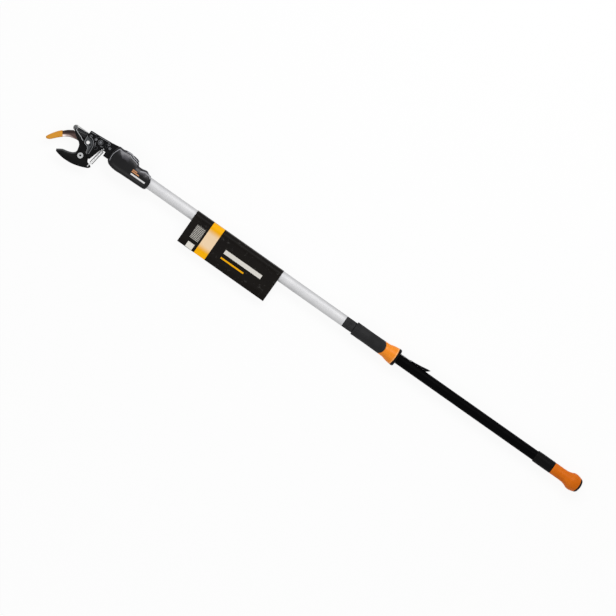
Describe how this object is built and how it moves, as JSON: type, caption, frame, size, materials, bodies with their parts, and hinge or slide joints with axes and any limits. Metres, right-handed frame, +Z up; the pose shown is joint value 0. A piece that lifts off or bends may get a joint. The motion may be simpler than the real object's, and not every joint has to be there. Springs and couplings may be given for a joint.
{
  "type": "tree pruner pole",
  "caption": "Long two-piece pole with a tilting by-pass cutting head, pulled by a strap from a sliding grip or an end knob, with a card sleeve on the tube.",
  "frame": {"origin": "on the floor under the head's tilt axle, with the tool lying flat", "axes": "+X along the pole from the head to the end knob, +Y in the plane of the blades away from the jaw, +Z up from the floor"},
  "size_m": [1.5764, 0.1116, 0.0465],
  "materials": {
    "hook_steel": "satin",
    "orange_plastic": "satin",
    "blade_coating": "satin",
    "bright_steel": "bright",
    "bush_brass": "satin",
    "spring_steel": "bright",
    "roller_grey": "satin",
    "strap_web": "woven",
    "head_plastic": "moulded",
    "casing_plastic": "satin",
    "dark_screw": "black oxide",
    "white_inlay": "satin",
    "tube_aluminium": "anodised",
    "tube_black": "satin",
    "black_plastic": "satin",
    "grip_rubber": "matt",
    "printed_card": "printed card"
  },
  "bodies": {
    "pole": {"upper_tube": "tube_aluminium", "tube_bolt": "bright_steel", "joint_collar": "black_plastic", "lower_tube": "tube_black", "end_sleeve": "black_plastic", "casing_front": "casing_plastic", "casing_back": "casing_plastic", "casing_screws": "dark_screw", "tilt_axle": "bright_steel", "button_spring": "spring_steel", "label_bar": "orange_plastic", "label_stripe": "white_inlay", "card_sleeve": "printed_card"},
    "head": {"hook_plate": "hook_steel", "hook_tip_cap": "orange_plastic", "pivot_bolt": "bright_steel", "pivot_nut": "bright_steel", "strap_anchor_pin": "bright_steel", "front_cover": "head_plastic", "back_cover": "head_plastic", "side_plate": "hook_steel", "rear_plate": "hook_steel", "side_plate_rivet": "bright_steel", "head_screws": "dark_screw", "head_core": "head_plastic", "drum_axle": "bright_steel", "neck_strap": "strap_web", "return_spring": "spring_steel", "spring_post": "bright_steel", "arm_strap": "strap_web"},
    "blade": {"blade": "blade_coating", "pivot_bush": "bush_brass", "arm_roller_pin": "bright_steel"},
    "arm_roller": {"arm_roller": "roller_grey"},
    "drum": {"strap_drum": "roller_grey"},
    "pulley": {"joint_pulley": "roller_grey"},
    "button": {"tilt_button": "casing_plastic"},
    "slider": {"slider_grip": "grip_rubber", "slider_ring": "orange_plastic", "ring_lip": "black_plastic", "slider_carriage": "roller_grey", "carriage_pin": "bright_steel", "pole_strap": "strap_web", "lever_base": "black_plastic", "lever_pin": "bright_steel"},
    "lever": {"release_lever": "black_plastic"},
    "knob": {"end_knob": "orange_plastic", "knob_end_cap": "black_plastic", "knob_strap": "strap_web"}
  },
  "joints": [
    {"name": "head_tilt", "type": "hinge", "parent": "pole", "child": "head", "pos_m": [0, 0, 0.0232], "axis": [0, 0, 1], "range_deg": [-30, 100]},
    {"name": "blade_swing", "type": "hinge", "parent": "head", "child": "blade", "pos_m": [-0.094, -0.042, 0.0232], "axis": [0, 0, -1], "range_deg": [0, 46], "deforming": ["return_spring", "arm_strap"]},
    {"name": "arm_roller_spin", "type": "hinge", "parent": "blade", "child": "arm_roller", "pos_m": [-0.1425, 0.0085, 0.0232], "axis": [0, 0, 1], "range_deg": [-10, 420]},
    {"name": "drum_spin", "type": "hinge", "parent": "head", "child": "drum", "pos_m": [-0.071, 0.013, 0.0232], "axis": [0, 0, -1], "range_deg": [-10, 1760]},
    {"name": "pulley_spin", "type": "hinge", "parent": "pole", "child": "pulley", "pos_m": [0, 0, 0.0232], "axis": [0, 0, -1], "range_deg": [-10, 1900]},
    {"name": "button_press", "type": "slide", "parent": "pole", "child": "button", "axis": [0, -1, 0], "range_m": [0, 0.003], "stiffness_N_per_m": 600, "deforming": ["button_spring"]},
    {"name": "slider_slide", "type": "slide", "parent": "pole", "child": "slider", "axis": [1, 0, 0], "range_m": [0, 0.29], "stiffness_N_per_m": 60},
    {"name": "lever_lift", "type": "hinge", "parent": "slider", "child": "lever", "pos_m": [0.8643, 0.01465, 0.0232], "axis": [0, 0, 1], "range_deg": [0, 15], "stiffness_Nm_per_rad": 0.2},
    {"name": "knob_pull", "type": "slide", "parent": "pole", "child": "knob", "axis": [1, 0, 0], "range_m": [0, 0.23], "stiffness_N_per_m": 40}
  ],
  "couplings": [
    {"joint": "blade_swing", "follows": "slider_slide", "rad_per_m": 2.7083},
    {"joint": "arm_roller_spin", "follows": "slider_slide", "rad_per_m": 24.5},
    {"joint": "drum_spin", "follows": "slider_slide", "rad_per_m": 103.09},
    {"joint": "pulley_spin", "follows": "slider_slide", "rad_per_m": 112.36}
  ]
}
